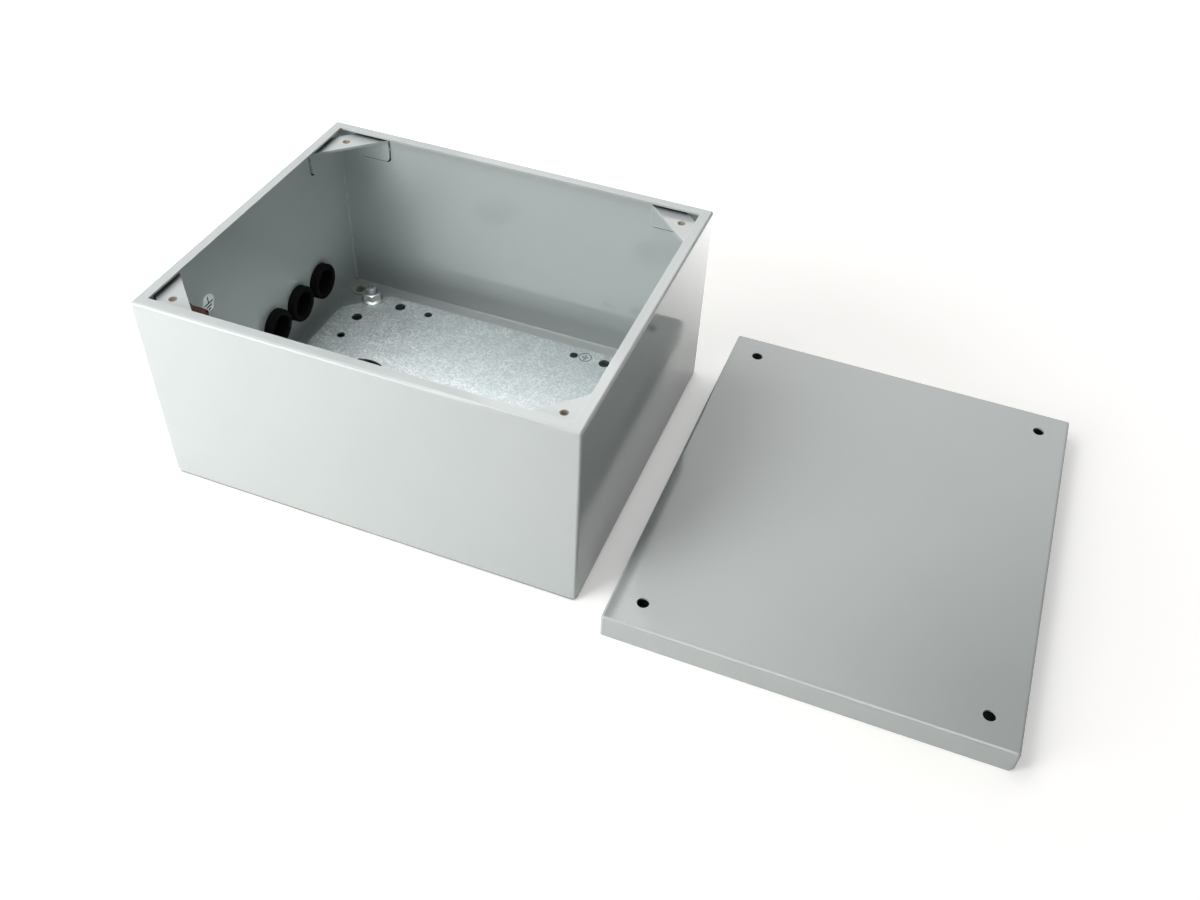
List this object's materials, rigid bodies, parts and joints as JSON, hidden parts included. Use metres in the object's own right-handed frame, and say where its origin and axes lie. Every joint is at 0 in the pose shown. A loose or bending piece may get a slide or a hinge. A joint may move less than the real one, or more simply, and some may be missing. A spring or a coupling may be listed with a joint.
{
  "type": "electrical enclosure",
  "caption": "Folded sheet-steel wall enclosure lying on its back, open, with mounting plate, corner brackets, cable grommets and earth stud, its screw-on lid laid beside it.",
  "frame": {"origin": "centre of the rear wall's outer face, at the middle of its wall-fixing holes", "axes": "+Z out of the open front, +X along the box's long side towards the loose lid, +Y along its short side"},
  "size_m": [0.5834, 0.3055, 0.146],
  "materials": {
    "painted_steel": "semi-gloss light grey powder coat",
    "galvanised_sheet": "hot-dip galvanised, fine spangle",
    "zinc_plated_steel": "bright zinc plate",
    "black_rubber": "moulded, dull",
    "natural_polyethylene": "moulded, slightly cloudy",
    "foam_seal": "closed-cell foam skin",
    "copper_plated_steel": "thin copper plate"
  },
  "bodies": {
    "enclosure": {"body_shell": "painted_steel", "cable_grommet_1": "black_rubber", "cable_grommet_2": "black_rubber", "cable_grommet_3": "black_rubber", "corner_bracket_front_left": "painted_steel", "corner_bracket_front_right": "painted_steel", "corner_bracket_rear_left": "painted_steel", "corner_bracket_rear_right": "painted_steel", "earth_stud": "copper_plated_steel", "mounting_plate": "galvanised_sheet", "plate_nut_front_left": "zinc_plated_steel", "plate_nut_front_right": "zinc_plated_steel", "plate_nut_rear_left": "zinc_plated_steel", "plate_nut_rear_right": "zinc_plated_steel", "plate_spacer_front_left": "zinc_plated_steel", "plate_spacer_front_right": "zinc_plated_steel", "plate_spacer_rear_left": "zinc_plated_steel", "plate_spacer_rear_right": "zinc_plated_steel", "plate_stud_front_left": "zinc_plated_steel", "plate_stud_front_right": "zinc_plated_steel", "plate_stud_rear_left": "zinc_plated_steel", "plate_stud_rear_right": "zinc_plated_steel", "wall_washer_front_left": "natural_polyethylene", "wall_washer_front_right": "natural_polyethylene", "wall_washer_rear_left": "natural_polyethylene", "wall_washer_rear_right": "natural_polyethylene"},
    "lid": {"lid_panel": "painted_steel", "lid_seal": "foam_seal"}
  },
  "joints": [
    {"name": "lid_lift", "type": "slide", "parent": "enclosure", "child": "lid", "axis": [0, 0, 1], "range_m": [0, 0.2]}
  ]
}
